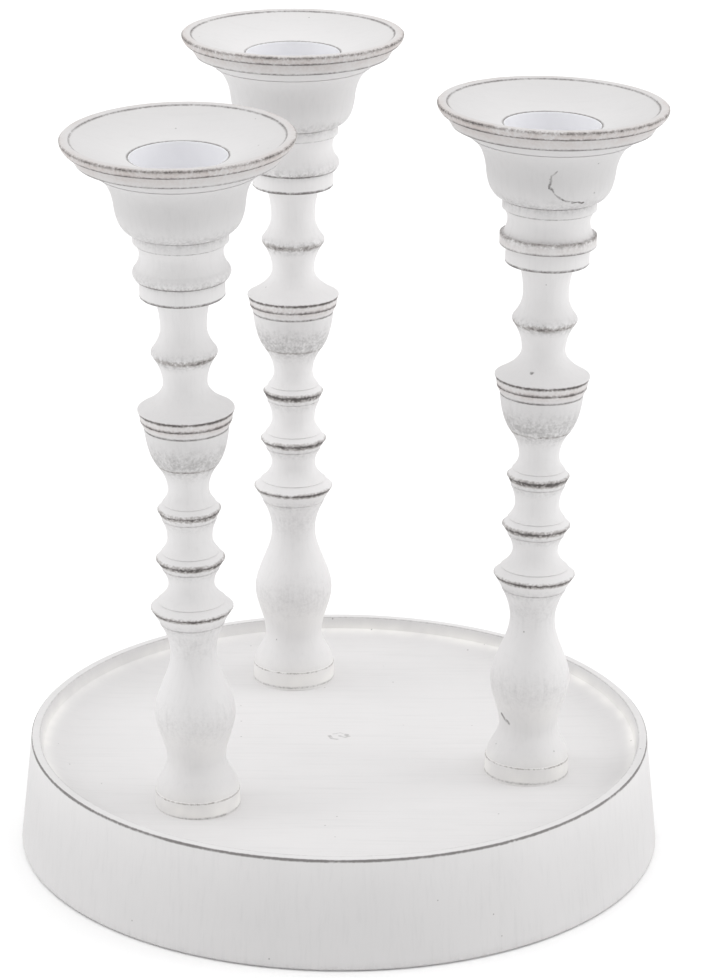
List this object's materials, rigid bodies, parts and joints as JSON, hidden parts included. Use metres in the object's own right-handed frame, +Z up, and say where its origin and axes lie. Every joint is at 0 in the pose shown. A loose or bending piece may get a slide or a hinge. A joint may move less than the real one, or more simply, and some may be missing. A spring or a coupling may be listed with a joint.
{
  "type": "candlestick",
  "caption": "Turned wooden candlestick group: three baluster sticks with wide drip cups and lined sockets, screwed to one round raised-edge tray base, whitewashed with worn edges.",
  "frame": {"origin": "on the base's axis, level with the underside of the felt that the base stands on", "axes": "+Z up; -Y towards the front, where the left and right sticks stand in front of the back one; +X to the right"},
  "size_m": [0.2698, 0.2758, 0.3293],
  "materials": {
    "whitewashed_wood": "matt white wash, rubbed through to grey-brown on the edges",
    "white_lacquer": "satin white lacquer on thin sheet steel",
    "raw_beech": "raw",
    "zinc_steel": "bright zinc",
    "felt": "pressed wool felt"
  },
  "bodies": {
    "root": {"base": "whitewashed_wood", "felt": "felt", "spindle_left": "whitewashed_wood", "cup_left": "whitewashed_wood", "liner_left": "white_lacquer", "dowel_left": "raw_beech", "screw_left": "zinc_steel", "washer_left": "zinc_steel", "spindle_right": "whitewashed_wood", "cup_right": "whitewashed_wood", "liner_right": "white_lacquer", "dowel_right": "raw_beech", "screw_right": "zinc_steel", "washer_right": "zinc_steel", "spindle_back": "whitewashed_wood", "cup_back": "whitewashed_wood", "liner_back": "white_lacquer", "dowel_back": "raw_beech", "screw_back": "zinc_steel", "washer_back": "zinc_steel"}
  },
  "joints": []
}
